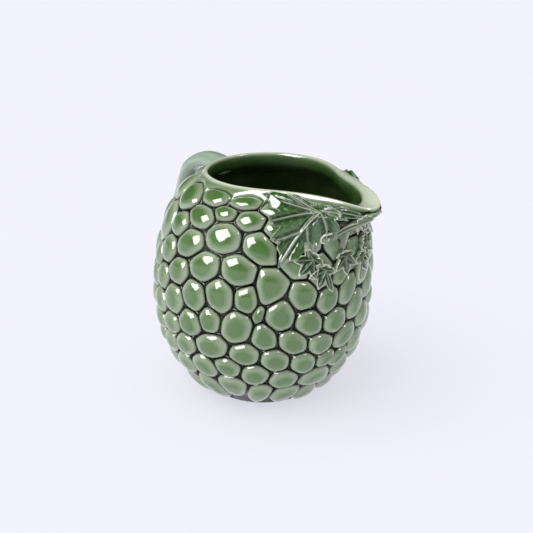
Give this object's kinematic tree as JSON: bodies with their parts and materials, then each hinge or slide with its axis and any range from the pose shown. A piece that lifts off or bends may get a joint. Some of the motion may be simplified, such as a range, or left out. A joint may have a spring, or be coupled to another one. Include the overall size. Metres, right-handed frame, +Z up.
{
  "type": "grape jug",
  "caption": "Glazed ceramic pouring jug moulded as a bunch of green grapes, with a pointed beak, a vine-branch handle and leaves under the beak.",
  "frame": {"origin": "middle of the flat foot, on the surface that the jug stands on", "axes": "+Z up, +X towards the tip of the beak, -X towards the handle, +Y to the jug's left when looking along the beak"},
  "size_m": [0.1948, 0.1479, 0.1538],
  "materials": {
    "grape_glaze": "gloss",
    "leaf_glaze": "gloss",
    "branch_glaze": "gloss"
  },
  "bodies": {
    "root": {"jug_body": "grape_glaze", "branch_handle": "branch_glaze", "beak_leaf": "leaf_glaze", "bud_leaf": "leaf_glaze", "rim_leaf_right": "leaf_glaze", "vine_leaf_right": "leaf_glaze", "small_leaf_right": "leaf_glaze", "lower_leaf_right": "leaf_glaze", "tendril_right": "leaf_glaze", "rim_leaf_left": "leaf_glaze", "vine_leaf_left": "leaf_glaze", "small_leaf_left": "leaf_glaze", "lower_leaf_left": "leaf_glaze", "tendril_left": "leaf_glaze"}
  },
  "joints": []
}
